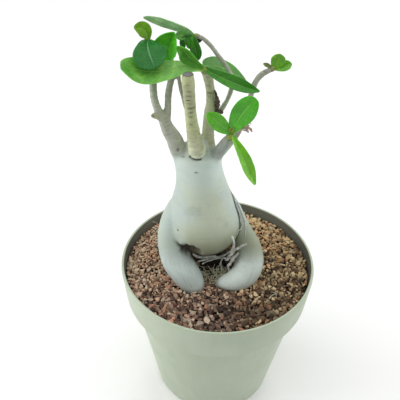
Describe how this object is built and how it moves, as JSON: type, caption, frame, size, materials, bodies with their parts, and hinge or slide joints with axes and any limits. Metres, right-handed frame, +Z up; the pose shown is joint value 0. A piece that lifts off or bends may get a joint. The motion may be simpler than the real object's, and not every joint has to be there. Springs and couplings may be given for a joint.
{
  "type": "potted desert rose plant",
  "caption": "Young desert rose with a swollen bottle-shaped stem on two leg roots and leafy shoots, in a round plastic pot of crushed red gravel. Stands on a flat base.",
  "frame": {"origin": "centre of the pot's underside, on the surface that the pot stands on", "axes": "+Z up, +X to the right seen from the front, -Y towards the front, where the two leg roots reach"},
  "size_m": [0.1398, 0.1398, 0.2996],
  "materials": {
    "pot_plastic": "satin moulded sage grey-green plastic",
    "gravel_stone": "rough crushed red-brown stone",
    "bark": "smooth pale grey-green bark, ringed with leaf scars on the branches",
    "leaf_green": "glossy fleshy green leaf with a pale midrib",
    "leaf_blue_green": "glossy deep blue-green leaf",
    "leaf_young": "glossy young yellow-green leaf",
    "dry_bits": "dry brown"
  },
  "bodies": {
    "root": {"pot": "pot_plastic", "gravel": "gravel_stone", "caudex_and_branches": "bark", "shoot_centre": "leaf_green", "shoot_left": "leaf_blue_green", "shoot_left_inner": "leaf_green", "shoot_back": "leaf_blue_green", "shoot_right_low": "leaf_green", "shoot_far_right": "leaf_young", "dry_flower_stalk": "dry_bits", "dry_bud_scale": "dry_bits"}
  },
  "joints": []
}
